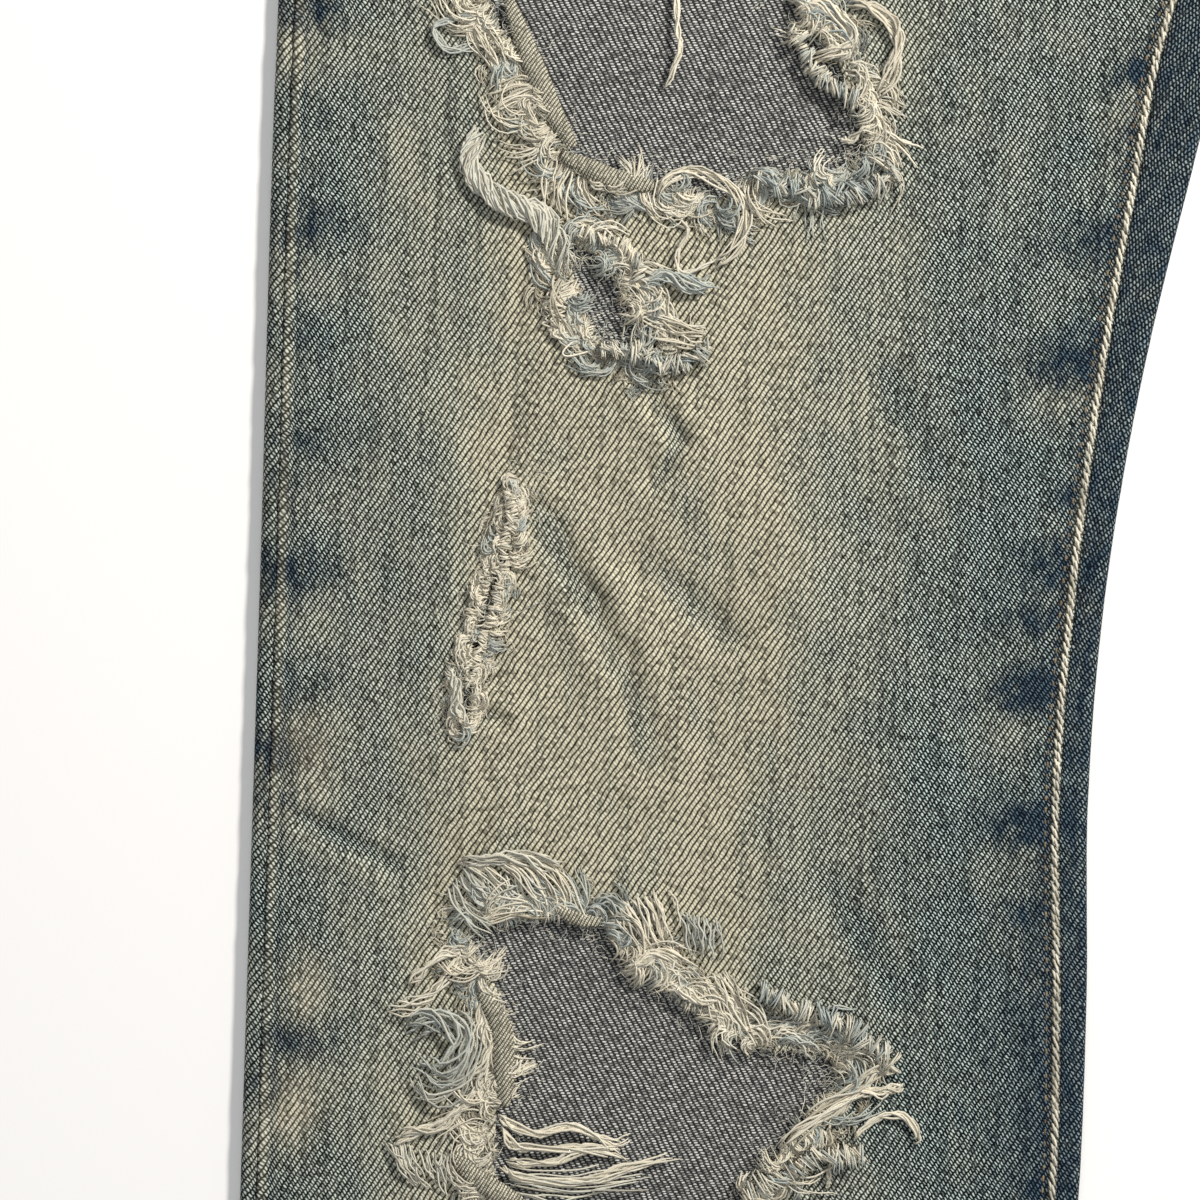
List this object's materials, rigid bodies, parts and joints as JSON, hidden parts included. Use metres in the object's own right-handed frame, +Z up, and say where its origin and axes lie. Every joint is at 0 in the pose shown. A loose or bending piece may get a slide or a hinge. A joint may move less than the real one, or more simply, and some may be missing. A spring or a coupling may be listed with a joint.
{
  "type": "ripped jeans",
  "caption": "Straight-leg blue denim jeans laid flat with the front up; faded, dirty front panel with frayed rips over the thigh and knee of one leg.",
  "frame": {"origin": "middle of the bounding box, on the table that the garment lies on", "axes": "+X towards the wearer's left, +Y up the legs to the waist, +Z up from the table, out of the front of the garment"},
  "size_m": [0.6628, 1.0871, 0.0113],
  "materials": {
    "denim": "worn 3x1 twill denim, slate blue under a sandy tint, cream where the warp is rubbed away",
    "button_metal": "antiqued, dull"
  },
  "bodies": {
    "root": {"front_leg_right": "denim", "pocket_facing_right": "denim", "back_leg_right": "denim", "yoke_right": "denim", "back_pocket_right": "denim", "front_leg_left": "denim", "pocket_facing_left": "denim", "back_leg_left": "denim", "yoke_left": "denim", "back_pocket_left": "denim", "waistband": "denim", "belt_loop_1": "denim", "belt_loop_2": "denim", "belt_loop_3": "denim", "belt_loop_4": "denim", "belt_loop_5": "denim", "waist_button": "button_metal"}
  },
  "joints": []
}
